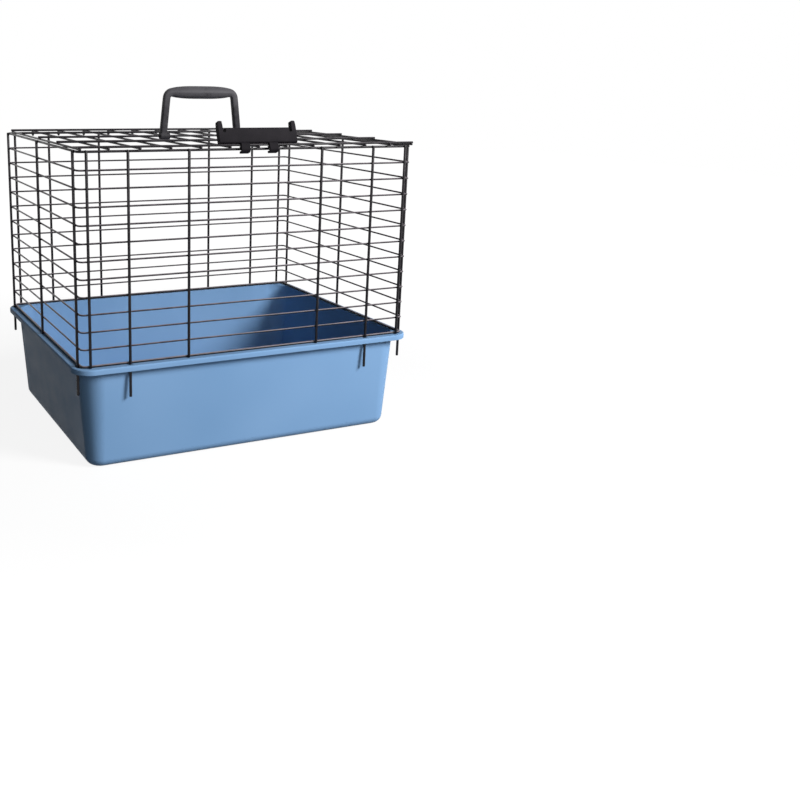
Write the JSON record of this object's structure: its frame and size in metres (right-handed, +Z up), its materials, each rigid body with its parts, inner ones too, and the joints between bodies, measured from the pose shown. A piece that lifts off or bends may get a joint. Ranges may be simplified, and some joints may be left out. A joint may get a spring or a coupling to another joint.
{
  "type": "pet carry cage",
  "caption": "Pet carry cage: a deep plastic tub under a lift-off welded wire cage, with a hinged wire lid, a lid catch and a folding carry handle.",
  "frame": {"origin": "on the floor, under the middle of the tub", "axes": "+Z up, -Y towards the front face with the lid catch, +X to the right of someone facing that front"},
  "size_m": [0.496, 0.3962, 0.4848],
  "materials": {
    "tub": "smooth moulded, light blue",
    "wire": "black coated steel wire",
    "handle": "moulded, dark grey"
  },
  "bodies": {
    "tub": {"tub": "tub"},
    "wire_cage": {"front_corner_wire_left": "wire", "front_leg_wire_left": "wire", "front_upright_left": "wire", "front_upright_right": "wire", "front_leg_wire_right": "wire", "front_corner_wire_right": "wire", "front_bottom_wire": "wire", "front_cross_wires": "wire", "front_top_wire": "wire", "front_left_corner_bends": "wire", "front_right_corner_bends": "wire", "back_corner_wire_left": "wire", "back_leg_wire_left": "wire", "back_upright_left": "wire", "back_upright_right": "wire", "back_leg_wire_right": "wire", "back_corner_wire_right": "wire", "back_bottom_wire": "wire", "back_cross_wires": "wire", "back_top_wire": "wire", "back_left_corner_bends": "wire", "back_right_corner_bends": "wire", "left_leg_wire_front": "wire", "left_upright": "wire", "left_leg_wire_back": "wire", "left_bottom_wire": "wire", "left_cross_wires": "wire", "left_top_wire": "wire", "right_leg_wire_front": "wire", "right_upright": "wire", "right_leg_wire_back": "wire", "right_bottom_wire": "wire", "right_cross_wires": "wire", "right_top_wire": "wire"},
    "lid": {"lid_rib_01": "wire", "lid_rib_02": "wire", "lid_rib_03": "wire", "lid_rib_04": "wire", "lid_rib_05": "wire", "lid_rib_06": "wire", "lid_rib_07": "wire", "lid_rib_08": "wire", "lid_rib_09": "wire", "lid_rib_10": "wire", "lid_rib_11": "wire", "lid_side_wire_left": "wire", "lid_side_wire_right": "wire", "lid_front_wire": "wire", "lid_stay_front": "wire", "lid_handle_wire": "wire", "lid_stay_back": "wire", "lid_back_wire": "wire"},
    "handle": {"carry_handle": "handle"},
    "catch": {"lid_catch": "handle"}
  },
  "joints": [
    {"name": "cage_lift", "type": "slide", "parent": "tub", "child": "wire_cage", "axis": [0, 0, 1], "range_m": [0, 0.1]},
    {"name": "lid_hinge", "type": "hinge", "parent": "wire_cage", "child": "lid", "pos_m": [0, 0.1872, 0.4092], "axis": [-1, 0, 0], "range_deg": [0, 235]},
    {"name": "handle_fold", "type": "hinge", "parent": "lid", "child": "handle", "pos_m": [0, 0, 0.4148], "axis": [1, 0, 0], "range_deg": [-78, 78]},
    {"name": "catch_tilt", "type": "hinge", "parent": "lid", "child": "catch", "pos_m": [0, -0.192, 0.4148], "axis": [-1, 0, 0], "range_deg": [-20, 12]}
  ]
}
